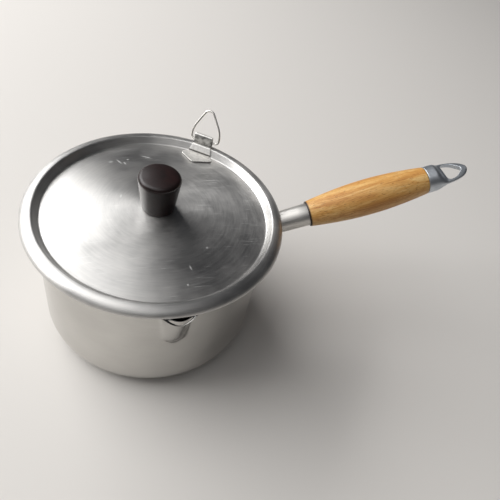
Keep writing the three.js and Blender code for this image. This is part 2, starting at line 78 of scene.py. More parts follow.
def beside(path, distance):
    """The parallel of a path, at a distance to its left."""
    normals = []
    for here, there in zip(path, path[1:]):
        along = (there - here).normalized()
        normals.append(Vector((-along.y, along.x)))
    moved = []
    for i, point in enumerate(path):
        before = normals[max(i - 1, 0)]
        after = normals[min(i, len(normals) - 1)]
        mitre = (before + after).normalized()
        moved.append(point + mitre * distance / mitre.dot(before))
    return moved


def round_edge(start, end, count=6):
    """The points of a half circle between the two faces of a sheet, for its smoothed edge."""
    centre = (start + end) / 2
    return [centre + Matrix.Rotation(pi * k / count, 2) @ (start - centre) for k in range(1, count)]


def draw(name, points):
    """A chain of edges through points in mm: one vertex, extruded from point to point."""
    bpy.ops.object.select_all(action="DESELECT")
    bpy.ops.mesh.primitive_plane_add(size=MM)
    piece = bpy.context.object
    piece.name = name
    piece.data.name = name
    bpy.ops.object.mode_set(mode="EDIT")
    bpy.ops.mesh.merge(type="CENTER")
    bpy.ops.transform.translate(value=points[0] * MM)
    for here, there in zip(points, points[1:]):
        bpy.ops.mesh.extrude_vertices_move(TRANSFORM_OT_translate={"value": (there - here) * MM})
    return piece


def turned(name, outline, steps):
    """A piece spun about Z from an outline of (radius, height) in mm."""
    piece = draw(name, [Vector((point.x, 0, point.y)) for point in outline])
    bpy.ops.mesh.select_all(action="SELECT")
    bpy.ops.mesh.spin(steps=steps, angle=2 * pi, center=(0, 0, 0), axis=(0, 0, 1))
    bpy.ops.mesh.select_all(action="SELECT")
    bpy.ops.mesh.remove_doubles(threshold=0.002 * MM)
    bpy.ops.mesh.normals_make_consistent(inside=False)
    bpy.ops.object.mode_set(mode="OBJECT")
    bpy.ops.object.shade_smooth()
    return piece


def settle(piece, matrix):
    """Takes a finished mesh to its place and leaves its object at the origin."""
    bpy.ops.object.select_all(action="DESELECT")
    piece.select_set(True)
    bpy.context.view_layer.objects.active = piece
    piece.matrix_world = matrix
    bpy.ops.object.transform_apply(location=True, rotation=True, scale=True)


def paint(code):
    """The linear colour of an sRGB hex value."""
    shares = [int(code[i:i + 2], 16) / 255 for i in (1, 3, 5)]
    linear = [s / 12.92 if s <= 0.04045 else ((s + 0.055) / 1.055) ** 2.4 for s in shares]
    return (*linear, 1)


def add(tree, kind, inputs=(), **settings):
    """Adds a node with its settings, and gives each input a value or a link."""
    made = tree.nodes.new(kind)
    for name, value in settings.items():
        setattr(made, name, value)
    for name, value in dict(inputs).items():
        if isinstance(value, bpy.types.NodeSocket):
            tree.links.new(value, made.inputs[name])
        else:
            made.inputs[name].default_value = value
    return made


def new_material(name):
    """An empty material with its surface shader, and the Object coordinates of the piece."""
    material = bpy.data.materials.new(name)
    material.use_nodes = True
    tree = material.node_tree
    tree.nodes.clear()
    shader = add(tree, "ShaderNodeBsdfPrincipled")
    add(tree, "ShaderNodeOutputMaterial", {"Surface": shader.outputs["BSDF"]})
    coords = add(tree, "ShaderNodeTexCoord").outputs["Object"]
    return material, tree, shader, coords


def ramp(tree, factor, stops):
    """A colour ramp's output over (position, colour) stops."""
    made = add(tree, "ShaderNodeValToRGB", {"Fac": factor})
    elements = made.color_ramp.elements
    while len(elements) < len(stops):
        elements.new(0.5)
    for element, (position, colour) in zip(elements, stops):
        element.position = position
        element.color = colour
    return made.outputs["Color"]


def grey(value):
    """A grey of a linear value."""
    return (value, value, value, 1)


pan_outer_radius = 81
pan_wall = 1
pan_inner_radius = pan_outer_radius - pan_wall
pan_height = 108.6
pan_corner_radius = 21
rim_edge_radius = 87
rim_slope = radians(25)
rim_flare_radius = 7
lip_length = 45
lip_reach = 11.4
lip_rim_reach = 4.4
lip_drop = 8.5
lip_foot_half = 9
lip_mouth_half = 15
lip_roundness = 1.5
lip_bulge = 0.75
lip_turn = radians(1.3)
lip_crowding = 0.6

flare_foot = pan_height - pan_wall * cos(rim_slope) - (rim_edge_radius - pan_inner_radius) * tan(rim_slope)
edge_out = rim_edge_radius + pan_wall * sin(rim_slope)
edge_up = flare_foot + (edge_out - pan_outer_radius) * tan(rim_slope)
lip_foot = pan_height - lip_length
base_rows = (0, 20, 40)
wall_rows = [24 + 4 * k for k in range(10)]
lip_rows = [lip_foot + 1.1 * k for k in range(33)]
edge_row = 2
pan_outside = rounded([
    *[(radius, 0) for radius in base_rows],
    (pan_outer_radius, 0, pan_corner_radius),
    *[(pan_outer_radius, height) for height in wall_rows],
    *[(pan_outer_radius, height) for height in lip_rows],
    (pan_outer_radius, flare_foot, rim_flare_radius),
    (edge_out - edge_row, edge_up - edge_row * tan(rim_slope)),
    (edge_out, edge_up),
])
pan_inside = beside(pan_outside, pan_wall)
pan_outline = [*pan_outside, *round_edge(pan_outside[-1], pan_inside[-1]), *reversed(pan_inside)]
pan = turned("pan_shell", pan_outline, steps=256)

# The press pushes the wall out into the lip and bends the rim down there. The vertices crowd towards it.
for vertex in pan.data.vertices:
    x, y, z = vertex.co / MM
    radius = hypot(x, y)
    angle = atan2(x, -y)
    angle -= lip_crowding * sin(angle)
    above = max(0, z - lip_foot)
    rise = above / lip_length
    half = lip_foot_half * sqrt(1 - (1 - min(1, above / lip_foot_half)) ** 2)
    half += (lip_mouth_half - lip_foot_half) * rise ** 2
    across = pan_outer_radius * angle
    share = (1 - (across / half) ** 2) ** lip_roundness if abs(across) < half else 0
    flare = min(1, max(0, (radius - pan_outer_radius) / (rim_edge_radius - pan_outer_radius)))
    wall_reach = lip_reach * rise ** lip_bulge
    radius += share * (wall_reach + (lip_rim_reach - wall_reach) * flare)
    vertex.co = Vector((radius * sin(angle), -radius * cos(angle), z - share * flare * lip_drop)) * MM
settle(pan, Matrix.Rotation(lip_turn, 4, "Z"))


def turned_grain(tree, coords, line, spread):
    """Noise drawn out round Z: lines a few mm wide across, and long round the piece."""
    flat = add(tree, "ShaderNodeVectorMath", {0: coords, 1: (1, 1, 0)}, operation="MULTIPLY")
    round_z = add(tree, "ShaderNodeVectorMath", {0: flat.outputs["Vector"]}, operation="NORMALIZE")
    spun = add(
        tree, "ShaderNodeVectorMath",
        {0: round_z.outputs["Vector"], "Scale": spread}, operation="SCALE",
    )
    radius = add(tree, "ShaderNodeVectorMath", {0: flat.outputs["Vector"]}, operation="LENGTH")
    height = add(tree, "ShaderNodeSeparateXYZ", {"Vector": coords}).outputs["Z"]
    across = add(tree, "ShaderNodeMath", {0: radius.outputs["Value"], 1: height}, operation="ADD")
    lines = add(
        tree, "ShaderNodeMath", {0: across.outputs["Value"], 1: 1 / (line * MM)}, operation="MULTIPLY"
    )
    offset = add(tree, "ShaderNodeCombineXYZ", {"Z": lines.outputs["Value"]})
    place = add(
        tree, "ShaderNodeVectorMath",
        {0: spun.outputs["Vector"], 1: offset.outputs["Vector"]}, operation="ADD",
    )
    noise = add(tree, "ShaderNodeTexNoise", {"Vector": place.outputs["Vector"], "Scale": 1, "Detail": 3})
    return noise.outputs["Fac"]


# Polished stainless steel: a soft mirror, with faint polishing lines round the pan and cloudy smears
# from washing up. The lines are drawn 1.6 mm apart, coarser than real ones, to show.
pan_steel, tree, shader, coords = new_material("polished_stainless_steel")
lines = turned_grain(tree, coords, line=1.6, spread=3)
smears = add(
    tree, "ShaderNodeTexNoise", {"Vector": coords, "Scale": 1 / (30 * MM), "Detail": 4}
).outputs["Fac"]
finish = add(
    tree, "ShaderNodeMath", {0: lines, 1: 0.35, 2: smears}, operation="MULTIPLY_ADD"
).outputs["Value"]
shader.inputs["Metallic"].default_value = 1
tree.links.new(
    ramp(tree, finish, [(0.35, paint("#bcbab6")), (0.95, paint("#c9c7c3"))]), shader.inputs["Base Color"]
)
tree.links.new(ramp(tree, finish, [(0.4, grey(0.13)), (1.0, grey(0.2))]), shader.inputs["Roughness"])
bump = add(tree, "ShaderNodeBump", {"Height": lines, "Strength": 0.03, "Distance": 0.05 * MM})
tree.links.new(bump.outputs["Normal"], shader.inputs["Normal"])
pan.data.materials.append(pan_steel)
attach(pan, "pan")
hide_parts("pan_body")


# Handle bracket: a steel saddle plate, bent to the pan's wall and spot-welded to it, with a round boss
# that the tie rod screws into. The ferrule hides the boss.
def combine(piece, tool, operation):
    """Joins a piece with a tool, or cuts it by the tool, which is then deleted, and clears up the seam."""
    bpy.ops.object.select_all(action="DESELECT")
    piece.select_set(True)
    bpy.context.view_layer.objects.active = piece
    modifier = piece.modifiers.new("combine", "BOOLEAN")
    modifier.object = tool
    modifier.operation = operation
    modifier.solver = "EXACT"
    bpy.ops.object.modifier_apply(modifier=modifier.name)
    bpy.data.objects.remove(tool)
    bpy.ops.object.mode_set(mode="EDIT")
    bpy.ops.mesh.select_all(action="SELECT")
    bpy.ops.mesh.remove_doubles(threshold=0.02 * MM)
    bpy.ops.mesh.dissolve_degenerate(threshold=0.01 * MM)
    bpy.ops.object.mode_set(mode="OBJECT")


def soften(piece, width, angle=40, count=3):
    """Rounds the edges that are sharper than an angle, then shades the piece smooth between them."""
    bpy.ops.object.select_all(action="DESELECT")
    piece.select_set(True)
    bpy.context.view_layer.objects.active = piece
    modifier = piece.modifiers.new("soften", "BEVEL")
    modifier.width = width * MM
    modifier.segments = count
    modifier.limit_method = "ANGLE"
    modifier.angle_limit = radians(angle)
    bpy.ops.object.modifier_apply(modifier=modifier.name)
    bpy.ops.object.shade_smooth_by_angle(angle=radians(angle))


handle_tilt = radians(19)
handle_height = 84
handle_frame = Matrix((
    (-sin(handle_tilt), 0, cos(handle_tilt), pan_outer_radius * MM),
    (0, -1, 0, 0),
    (cos(handle_tilt), 0, sin(handle_tilt), handle_height * MM),
    (0, 0, 0, 1),
))
saddle_inner = 81.3
saddle_thickness = 2
saddle_outer = saddle_inner + saddle_thickness
saddle_width = 26
saddle_length = 30
saddle_corner = 5
saddle_edge = 0.3
boss_radius = 5.6
boss_root = 1
boss_length = 16
boss_edge = 0.4
rod_bore = 3.3
bore_start = 4
bore_end = boss_length + 2

bpy.ops.object.select_all(action="DESELECT")
bpy.ops.mesh.primitive_plane_add(size=1)
saddle = bpy.context.object
saddle.name = "saddle_plate"
saddle.data.name = "saddle_plate"
bpy.ops.object.mode_set(mode="EDIT")
bpy.ops.transform.resize(value=(saddle_width * MM, saddle_length * MM, 1), center_override=(0, 0, 0))
bpy.ops.mesh.bevel(offset=saddle_corner * MM, segments=8, affect="VERTICES")
# Cuts across the plate let it bend. At its ends they pass through points of the round corners.
saddle_straight = saddle_width / 2 - saddle_corner
bends = [saddle_straight * k / 4 for k in range(-4, 5)]
for k in range(1, 4):
    corner_reach = saddle_straight + saddle_corner * sin(pi / 2 * k / 4)
    bends += [-corner_reach, corner_reach]
for bend in bends:
    bpy.ops.mesh.select_all(action="SELECT")
    bpy.ops.mesh.bisect(plane_co=(bend * MM, 0, 0), plane_no=(1, 0, 0))
bpy.ops.mesh.select_all(action="SELECT")
bpy.ops.mesh.extrude_region_move(TRANSFORM_OT_translate={"value": (0, 0, saddle_thickness * MM)})
bpy.ops.mesh.select_all(action="SELECT")
bpy.ops.mesh.normals_make_consistent(inside=False)
bpy.ops.object.mode_set(mode="OBJECT")
# The flat plate is bent round the pan's axis.
for vertex in saddle.data.vertices:
    across, along, depth = vertex.co / MM
    radius = saddle_inner + depth
    turn = across / saddle_outer
    vertex.co = Vector((radius * cos(turn), radius * sin(turn), handle_height + along)) * MM
soften(saddle, saddle_edge)
boss = turned("boss", rounded([
    (0, boss_root),
    (boss_radius, boss_root),
    (boss_radius, boss_length, boss_edge),
    (0, boss_length),
]), steps=64)
settle(boss, handle_frame)
combine(saddle, boss, "UNION")
bore = turned("bore", rounded([
    (0, bore_start),
    (rod_bore, bore_start),
    (rod_bore, bore_end),
    (0, bore_end),
]), steps=48)
settle(bore, handle_frame)
combine(saddle, bore, "DIFFERENCE")
bpy.ops.object.shade_smooth_by_angle(angle=radians(40))

# Mild steel, plated: bright but duller than the pan, with a fine grain and small stains.
plated_steel, tree, shader, coords = new_material("plated_mild_steel")
grain = add(
    tree, "ShaderNodeTexNoise", {"Vector": coords, "Scale": 1 / (1.2 * MM), "Detail": 4}
).outputs["Fac"]
stains = add(
    tree, "ShaderNodeTexNoise", {"Vector": coords, "Scale": 1 / (9 * MM), "Detail": 5}
).outputs["Fac"]
shader.inputs["Metallic"].default_value = 1
tree.links.new(
    ramp(tree, stains, [(0.3, paint("#a9a7a2")), (0.6, paint("#c6c4bf"))]), shader.inputs["Base Color"]
)
tree.links.new(ramp(tree, grain, [(0.3, grey(0.24)), (0.75, grey(0.4))]), shader.inputs["Roughness"])
bump = add(tree, "ShaderNodeBump", {"Height": grain, "Strength": 0.15, "Distance": 0.05 * MM})
tree.links.new(bump.outputs["Normal"], shader.inputs["Normal"])
saddle.data.materials.append(plated_steel)
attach(saddle, "pan")
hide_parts("handle_bracket")

# Tie rod: a steel rod through the middle of the handle, screwed into the boss and the end cap, that clamps
# ferrule, wood and cap together. It is hidden inside, so the frame's own rod stays and gets the plating.
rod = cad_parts["tie_rod"]
rod.data.materials.clear()
rod.data.materials.append(plated_steel)


# Ferrule: a tapered tube of sheet steel between the pan and the wood. Its root is cut to the saddle's
# curve, and its other end takes the tenon of the grip.
ferrule_length = 38.5
ferrule_root_radius = 7.9
ferrule_end_radius = 8.95
ferrule_wall = 1
ferrule_taper = (ferrule_end_radius - ferrule_root_radius) / ferrule_length
ferrule_stations = (-8, 12, 30, ferrule_length)
ferrule_gap = 0.3
drum_radius = saddle_outer + ferrule_gap
drum_height = 160
ferrule_path = [
    Vector((ferrule_root_radius + ferrule_taper * along, along)) for along in ferrule_stations
]
ferrule_bore = beside(ferrule_path, ferrule_wall)
ferrule_outline = [
    *ferrule_path,
    *round_edge(ferrule_path[-1], ferrule_bore[-1]),
    *reversed(ferrule_bore),
    ferrule_path[0],
]
ferrule = turned("ferrule_tube", ferrule_outline, steps=128)
settle(ferrule, handle_frame)
drum = turned("drum", rounded([
    (0, 0),
    (drum_radius, 0),
    (drum_radius, drum_height),
    (0, drum_height),
]), steps=360)
combine(ferrule, drum, "DIFFERENCE")
soften(ferrule, width=0.15, angle=50, count=2)

# Stainless steel tube, satin: brushed along the handle, with lines drawn about 0.8 mm apart to show.
ferrule_steel, tree, shader, coords = new_material("satin_steel_tube")
along = add(
    tree, "ShaderNodeMapping", {"Vector": coords, "Rotation": (0, handle_tilt, 0)}
).outputs["Vector"]
drawn = add(
    tree, "ShaderNodeVectorMath",
    {0: along, 1: (1 / (30 * MM), 1 / (0.8 * MM), 1 / (0.8 * MM))}, operation="MULTIPLY",
).outputs["Vector"]
lines = add(tree, "ShaderNodeTexNoise", {"Vector": drawn, "Scale": 1, "Detail": 3}).outputs["Fac"]
shader.inputs["Metallic"].default_value = 1
tree.links.new(
    ramp(tree, lines, [(0.3, paint("#cdcac5")), (0.7, paint("#dddad5"))]), shader.inputs["Base Color"]
)
tree.links.new(ramp(tree, lines, [(0.3, grey(0.4)), (0.8, grey(0.5))]), shader.inputs["Roughness"])
ferrule.data.materials.append(ferrule_steel)
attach(ferrule, "pan")
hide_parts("ferrule")


# Grip: a barrel of close-grained hardwood, turned on a lathe, bored for the rod and waxed. A tenon at its
# thinner end sits in the ferrule.
grip_start = 38.8
grip_length = 97.5
grip_start_radius = 9.9
grip_middle_radius = 14.2
grip_end_radius = 10.7
grip_fullness = 0.9
grip_start_edge = 0.8
grip_end_edge = 0.4
tenon_length = 12
tenon_radius = 7.3
tenon_edge = 0.6


def grip_radius(share):
    """The radius of the barrel at a share of its length."""
    taper = grip_start_radius + (grip_end_radius - grip_start_radius) * share
    swell = grip_middle_radius - (grip_start_radius + grip_end_radius) / 2
    return taper + swell * sin(pi * share) ** grip_fullness


grip_stations = [k / 60 for k in range(1, 60)]
grip_outline = rounded([
    (rod_bore, grip_start - tenon_length),
    (tenon_radius, grip_start - tenon_length, tenon_edge),
    (tenon_radius, grip_start),
    (grip_start_radius, grip_start, grip_start_edge),
    *[(grip_radius(share), grip_start + share * grip_length) for share in grip_stations],
    (grip_end_radius, grip_start + grip_length, grip_end_edge),
    (rod_bore, grip_start + grip_length),
])
grip = turned("grip_barrel", [*grip_outline, grip_outline[0]], steps=128)
settle(grip, handle_frame)
soften(grip, width=0.05, angle=50, count=1)

# Waxed beech: honey-coloured, with fibres about 0.7 mm wide along the handle, wider bands of darker growth,
# short dark flecks as quarter-cut beech has, and a painted shade ring at the joint by the ferrule.
grip_wood, tree, shader, coords = new_material("waxed_beech")
along = add(
    tree, "ShaderNodeMapping", {"Vector": coords, "Rotation": (0, handle_tilt, 0)}
).outputs["Vector"]
fibre_place = add(
    tree, "ShaderNodeVectorMath",
    {0: along, 1: (1 / (18 * MM), 1 / (0.7 * MM), 1 / (0.7 * MM))}, operation="MULTIPLY",
).outputs["Vector"]
fibres = add(tree, "ShaderNodeTexNoise", {"Vector": fibre_place, "Scale": 1, "Detail": 4}).outputs["Fac"]
band_place = add(
    tree, "ShaderNodeVectorMath",
    {0: along, 1: (1 / (70 * MM), 1 / (6 * MM), 1 / (6 * MM))}, operation="MULTIPLY",
).outputs["Vector"]
bands = add(
    tree, "ShaderNodeTexNoise", {"Vector": band_place, "Scale": 1, "Detail": 3, "Distortion": 0.5}
).outputs["Fac"]
fleck_place = add(
    tree, "ShaderNodeVectorMath",
    {0: along, 1: (1 / (3.5 * MM), 1 / (0.6 * MM), 1 / (0.6 * MM))}, operation="MULTIPLY",
).outputs["Vector"]
flecks = add(tree, "ShaderNodeTexNoise", {"Vector": fleck_place, "Scale": 1, "Detail": 1}).outputs["Fac"]
figure = add(
    tree, "ShaderNodeMath", {0: fibres, 1: 0.6, 2: bands}, operation="MULTIPLY_ADD"
).outputs["Value"]
wood_colour = ramp(tree, figure, [
    (0.55, paint("#b27537")),
    (0.8, paint("#cf9a55")),
    (1.05, paint("#e2ba7a")),
])
fleck_share = ramp(tree, flecks, [(0.6, grey(0)), (0.72, grey(0.6))])
wood_colour = add(
    tree, "ShaderNodeMix", {0: fleck_share, 6: wood_colour, 7: paint("#7d421a")}, data_type="RGBA"
).outputs[2]
# The distance along the handle starts where its axis leaves the pan's wall.
wall_distance = pan_outer_radius * cos(handle_tilt) + handle_height * sin(handle_tilt)
joint = (wall_distance + grip_start) * MM
distance = add(tree, "ShaderNodeSeparateXYZ", {"Vector": along}).outputs["X"]
# Painted shade: the wood is near black within 0.5 mm of the ferrule and fades back to its colour by 1.8 mm,
# where the gap of the joint lies in shade.
outside_painted_shade = add(
    tree, "ShaderNodeMapRange",
    {"Value": distance, "From Min": joint + 0.5 * MM, "From Max": joint + 1.8 * MM},
    interpolation_type="SMOOTHSTEP",
).outputs["Result"]
wood_colour = add(
    tree, "ShaderNodeMix", {0: outside_painted_shade, 6: paint("#1d0f07"), 7: wood_colour}, data_type="RGBA"
).outputs[2]
tree.links.new(wood_colour, shader.inputs["Base Color"])
tree.links.new(ramp(tree, figure, [(0.6, grey(0.5)), (1.0, grey(0.38))]), shader.inputs["Roughness"])
shader.inputs["IOR"].default_value = 1.5
bump = add(tree, "ShaderNodeBump", {"Height": fibres, "Strength": 0.12, "Distance": 0.08 * MM})
tree.links.new(bump.outputs["Normal"], shader.inputs["Normal"])
grip.data.materials.append(grip_wood)
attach(grip, "pan")
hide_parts("wooden_grip")


# End cap: a casting that closes the handle. A round collar meets the wood and flattens into a nose with a
# pear-shaped eye for a hook. The tie rod screws into its blind socket.
cap_start = 136.6
cap_length = 35.6
cap_collar = 7
eye_start = 16
eye_end = 32
eye_bar = 1.8
eye_corner = 2.8
eye_side = 12
eye_thickness = 5
nose_thickness = 3.4
nose_rise = 0.9
nose_taper = 2.8
nose_squareness = 3
eye_cut = 24
socket_lead = 1
socket_depth = 8
skin_cell = 0.25


def cap_half_width(along):
    """Half the cap's width at a distance from its collar's end."""
    share = max(0, (along - cap_collar) / (cap_length - cap_collar))
    return grip_end_radius * sqrt(max(0, 1 - share ** nose_taper))


cap_stations = [cap_length * sin(pi / 2 * k / 60) for k in range(61)]
cap = turned("cap_casting", [
    Vector((0, 0)),
    *[Vector((1, along)) for along in cap_stations],
    Vector((0, cap_length)),
], steps=96)
# The round body is squeezed flat towards its nose, and its section squares up from a circle to a bar.
for vertex in cap.data.vertices:
    up, aside, along = vertex.co / MM
    flat = min(1, max(0, (along - cap_collar) / (eye_start - cap_collar)))
    flat = flat * flat * (3 - 2 * flat)
    power = 2 + (nose_squareness - 2) * flat
    size = abs(up) ** power + abs(aside) ** power
    fill = size ** (-1 / power) if size > 0.25 else 0
    towards_nose = min(1, max(0, (along - eye_start) / (cap_length - eye_start)))
    bar = (eye_thickness + (nose_thickness - eye_thickness) * towards_nose) / 2
    thick = min(cap_half_width(along), grip_end_radius + (bar - grip_end_radius) * flat)
    place = (up * fill * thick + flat * nose_rise, aside * fill * cap_half_width(along), along + cap_start)
    vertex.co = Vector(place) * MM
eye_middle = (eye_start + eye_end) / 2
eye_half = cap_half_width(eye_start) - eye_bar
middle_half = cap_half_width(eye_middle) - eye_bar
eye_outline = rounded([
    (0, eye_start),
    (eye_half, eye_start, eye_corner),
    (middle_half, eye_middle, eye_side),
    (0, eye_end, eye_corner),
    (-middle_half, eye_middle, eye_side),
    (-eye_half, eye_start, eye_corner),
    (0, eye_start),
])
eye = draw("eye", [Vector((-eye_cut / 2, point.x, point.y + cap_start)) for point in eye_outline])
bpy.ops.mesh.select_all(action="SELECT")
bpy.ops.mesh.remove_doubles(threshold=0.002 * MM)
bpy.ops.mesh.edge_face_add()
bpy.ops.mesh.extrude_region_move(TRANSFORM_OT_translate={"value": (eye_cut * MM, 0, 0)})
bpy.ops.mesh.select_all(action="SELECT")
bpy.ops.mesh.normals_make_consistent(inside=False)
bpy.ops.object.mode_set(mode="OBJECT")
combine(cap, eye, "DIFFERENCE")
socket_start = cap_start - socket_lead
socket_end = cap_start + socket_depth
socket = turned("socket", rounded([
    (0, socket_start),
    (rod_bore, socket_start),
    (rod_bore, socket_end),
    (0, socket_end),
]), steps=48)
combine(cap, socket, "DIFFERENCE")
# A fine remesh and a little smoothing round the cast edges.
skin = cap.modifiers.new("skin", "REMESH")
skin.mode = "VOXEL"
skin.voxel_size = skin_cell * MM
bpy.ops.object.modifier_apply(modifier=skin.name)
smoothing = cap.modifiers.new("smoothing", "SMOOTH")
smoothing.factor = 0.5
smoothing.iterations = 10
bpy.ops.object.modifier_apply(modifier=smoothing.name)
bpy.ops.object.select_all(action="DESELECT")
cap.select_set(True)
bpy.ops.object.shade_smooth()
settle(cap, handle_frame)

# Cast aluminium, tumbled: bluer than the steel, with a fine pitted skin and brighter worn edges.
cap_metal, tree, shader, coords = new_material("tumbled_casting")
pits = add(
    tree, "ShaderNodeTexNoise", {"Vector": coords, "Scale": 1 / (0.9 * MM), "Detail": 4}
).outputs["Fac"]
stains = add(
    tree, "ShaderNodeTexNoise", {"Vector": coords, "Scale": 1 / (7 * MM), "Detail": 4}
).outputs["Fac"]
edges = add(tree, "ShaderNodeNewGeometry").outputs["Pointiness"]
shader.inputs["Metallic"].default_value = 1
tree.links.new(
    ramp(tree, stains, [(0.3, paint("#bfc5cc")), (0.7, paint("#dbdfe3"))]), shader.inputs["Base Color"]
)
tree.links.new(ramp(tree, edges, [(0.49, grey(0.46)), (0.6, grey(0.36))]), shader.inputs["Roughness"])
bump = add(tree, "ShaderNodeBump", {"Height": pits, "Strength": 0.1, "Distance": 0.06 * MM})
tree.links.new(bump.outputs["Normal"], shader.inputs["Normal"])
cap.data.materials.append(cap_metal)
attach(cap, "pan")
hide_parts("end_cap")


# Lid: a disc of stainless steel, pressed and spun. Its middle is sunk into the pan and rises in a low dome
# to the knob, and its rim is a wide convex band that sits on the pan's flare.
lid_height = 105.789
lid_sheet = 0.8
lid_radius = 90.1
lid_crest_radius = 83.3
lid_mouth_radius = 81.9
lid_foot_radius = 78.4
lid_foot_height = -0.5
lid_band_height = 4.9
lid_band_fullness = 1.8
lid_bend_radius = 1.6
lid_dome_rise = 6.5
dome_edge = 3.5
dome_step = 2.5
knob_seat_radius = 12.5
screw_hole = 2.3


def dome_height(radius):
    """The height of the lid's upper face at a radius of its dome."""
    return lid_foot_height + lid_dome_rise * (1 - (radius / lid_foot_radius) ** 2)


# The band's section is a quarter of an oval, a little flatter than an ellipse.
band_turns = [pi / 2 * k / 24 for k in range(24)]
band = [
    Vector((
        lid_crest_radius + (lid_radius - lid_crest_radius) * cos(turn) ** (2 / lid_band_fullness),
        lid_band_height * sin(turn) ** (2 / lid_band_fullness),
    ))
    for turn in band_turns
]
dome_stations = [lid_foot_radius - dome_edge - k * dome_step for k in range(25)]
lid_upper = [
    *band,
    *rounded([
        (lid_crest_radius, lid_band_height),
        (lid_mouth_radius, lid_band_height, lid_bend_radius),
        (lid_foot_radius, lid_foot_height, lid_bend_radius),
        *[(radius, dome_height(radius)) for radius in dome_stations],
        (knob_seat_radius, dome_height(knob_seat_radius)),
        (screw_hole, dome_height(knob_seat_radius)),
    ]),
]
lid_lower = beside(lid_upper, lid_sheet)
lid_outline = [
    *lid_upper,
    *round_edge(lid_upper[-1], lid_lower[-1]),
    *reversed(lid_lower),
    *round_edge(lid_lower[0], lid_upper[0]),
    lid_upper[0],
]
lid_frame = Matrix.Translation((0, 0, lid_height * MM))
lid = turned("lid_disc", lid_outline, steps=256)
settle(lid, lid_frame)


def worn_spots(tree, coords, spots):
    """A mask of small wear marks, each an ellipse (x, y, turn in degrees, length, width) in mm."""
    mask = 0
    for x, y, turn, length, width in spots:
        spot = add(
            tree, "ShaderNodeMapping",
            {
                "Vector": coords,
                "Location": (x * MM, y * MM, 0),
                "Rotation": (0, 0, radians(turn)),
                "Scale": (length / 2 * MM, width / 2 * MM, 1),
            },
            vector_type="TEXTURE",
        ).outputs["Vector"]
        share = add(
            tree, "ShaderNodeTexGradient", {"Vector": spot}, gradient_type="SPHERICAL"
        ).outputs["Fac"]
        mask = add(tree, "ShaderNodeMath", {0: share, 1: mask}, operation="MAXIMUM").outputs["Value"]
    return mask


# Satin stainless steel, brushed round and round: the light spreads across the lines into two bright wedges.
# The lines are drawn 1.1 mm apart to show. Washing has left smears, and use hairlines and a few scratches.
lid_steel, tree, shader, coords = new_material("satin_stainless_steel")
lines = turned_grain(tree, coords, line=1.1, spread=4)
smears = add(
    tree, "ShaderNodeTexNoise", {"Vector": coords, "Scale": 1 / (22 * MM), "Detail": 5}
).outputs["Fac"]
finish = add(
    tree, "ShaderNodeMath", {0: lines, 1: 0.6, 2: smears}, operation="MULTIPLY_ADD"
).outputs["Value"]
scratches = worn_spots(tree, coords, [
    (-27.9, 53.4, 12, 4.5, 2),
    (-21.8, 53.1, -62, 9, 1.6),
    (-17.8, 50.7, -68, 5, 1.6),
    (-15.2, 55.7, 21, 3, 1.8),
    (-1, 58.4, -27, 11, 1.4),
    (-24, 12.2, -105, 5, 1.8),
    (13.7, -54.7, -75, 5, 1.6),
    (27.4, -39.4, 0, 2.2, 2.2),
    (9.9, -67, 0, 1.8, 1.8),
])
hairline_place = add(
    tree, "ShaderNodeMapping",
    {
        "Vector": coords,
        "Rotation": (0, 0, radians(35)),
        "Scale": (1 / (16 * MM), 1 / (0.5 * MM), 1 / (16 * MM)),
    },
).outputs["Vector"]
hairlines = add(
    tree, "ShaderNodeTexNoise", {"Vector": hairline_place, "Scale": 1, "Detail": 1}
).outputs["Fac"]
hairlines = ramp(tree, hairlines, [(0.66, grey(0)), (0.76, grey(0.35))])
wear = add(tree, "ShaderNodeMath", {0: scratches, 1: hairlines}, operation="MAXIMUM").outputs["Value"]
shader.inputs["Metallic"].default_value = 1
shader.inputs["Anisotropic"].default_value = 0.62
shader.inputs["Anisotropic Rotation"].default_value = 0.25
tangent = add(tree, "ShaderNodeTangent", direction_type="RADIAL", axis="Z").outputs["Tangent"]
tree.links.new(tangent, shader.inputs["Tangent"])
lid_colour = ramp(tree, finish, [(0.5, paint("#bbbab8")), (1.1, paint("#d2d0cd"))])
lid_colour = add(
    tree, "ShaderNodeMix", {0: wear, 6: lid_colour, 7: paint("#f6f6f4")}, data_type="RGBA"
).outputs[2]
tree.links.new(lid_colour, shader.inputs["Base Color"])
lid_roughness = ramp(tree, finish, [(0.5, grey(0.36)), (1.1, grey(0.46))])
lid_roughness = add(
    tree, "ShaderNodeMix", {0: wear, 6: lid_roughness, 7: grey(0.85)}, data_type="RGBA"
).outputs[2]
tree.links.new(lid_roughness, shader.inputs["Roughness"])
bump = add(tree, "ShaderNodeBump", {"Height": lines, "Strength": 0.08, "Distance": 0.05 * MM})
tree.links.new(bump.outputs["Normal"], shader.inputs["Normal"])
lid.data.materials.append(lid_steel)
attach(lid, "lid")
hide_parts("lid")


# Knob: a cone of dark brown phenolic resin, wider at the top, with a low crown and a soft edge. It is
# moulded round a threaded insert and screwed on from under the lid.
knob_bottom = 6.135
knob_height = 28.2
knob_base_radius = 11.5
knob_top_radius = 14.9
knob_crown = 1.8
knob_edge = 3.2
knob_base_edge = 0.8
insert_radius = 4.2
insert_length = 12.3
cone_stations = [k / 12 for k in range(1, 11)]
crown_stations = [0.78, 0.7, 0.6, 0.5, 0.4, 0.3, 0.2, 0.1]
knob_flare = knob_top_radius - knob_base_radius
knob_cone = knob_height - knob_crown
knob_outline = rounded([
    (0, insert_length),
    (insert_radius, insert_length),
    (insert_radius, 0),
    (knob_base_radius, 0, knob_base_edge),
    *[(knob_base_radius + knob_flare * share, knob_cone * share) for share in cone_stations],
    (knob_top_radius, knob_cone, knob_edge),
    *[(share * knob_top_radius, knob_height - knob_crown * share ** 2) for share in crown_stations],
    (0, knob_height),
])
knob = turned("knob_cone", knob_outline, steps=128)
settle(knob, lid_frame @ Matrix.Translation((0, 0, knob_bottom * MM)))
soften(knob, width=0.1, angle=50, count=2)

